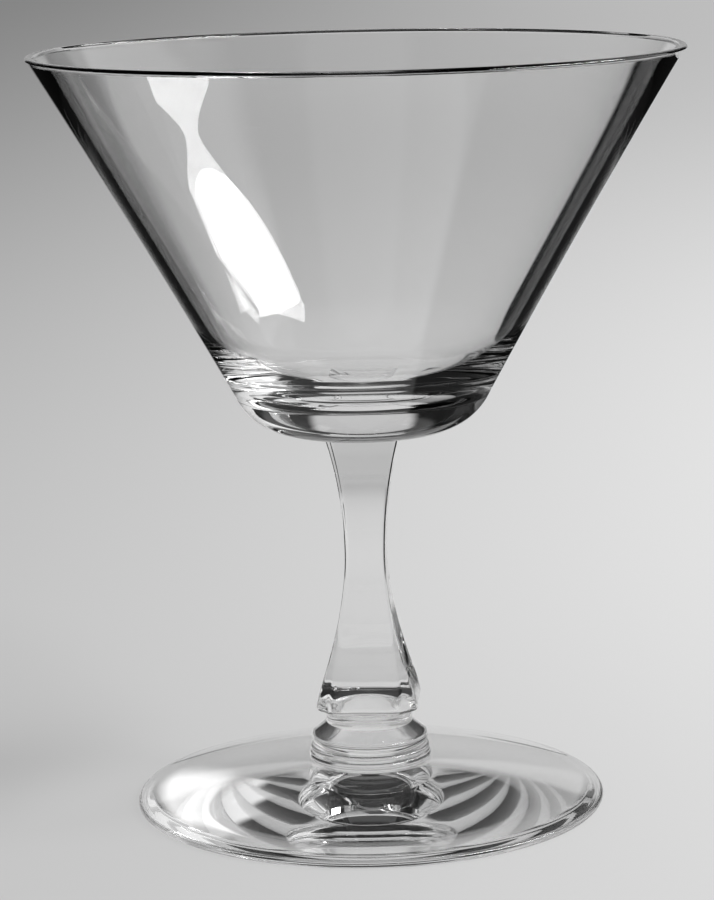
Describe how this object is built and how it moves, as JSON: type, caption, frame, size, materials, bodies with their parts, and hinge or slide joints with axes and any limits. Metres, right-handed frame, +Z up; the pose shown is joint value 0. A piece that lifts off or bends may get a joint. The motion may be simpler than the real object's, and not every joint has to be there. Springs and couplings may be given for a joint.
{
  "type": "sherbet glass",
  "caption": "Clear stemmed dessert glass with a flared conical bowl, a four-sided stem that swells into a round knop, a stack of rounded rings and a wide spun foot.",
  "frame": {"origin": "middle of the foot on the surface that the glass stands on", "axes": "+Z up along the axis of the bowl and the stem; a flat panel of the stem faces -Y"},
  "size_m": [0.096, 0.096, 0.113],
  "materials": {
    "clear_glass": "fire-polished clear glass"
  },
  "bodies": {
    "root": {"foot": "clear_glass", "bead": "clear_glass", "ring": "clear_glass", "collar": "clear_glass", "stem": "clear_glass", "bowl": "clear_glass"}
  },
  "joints": []
}
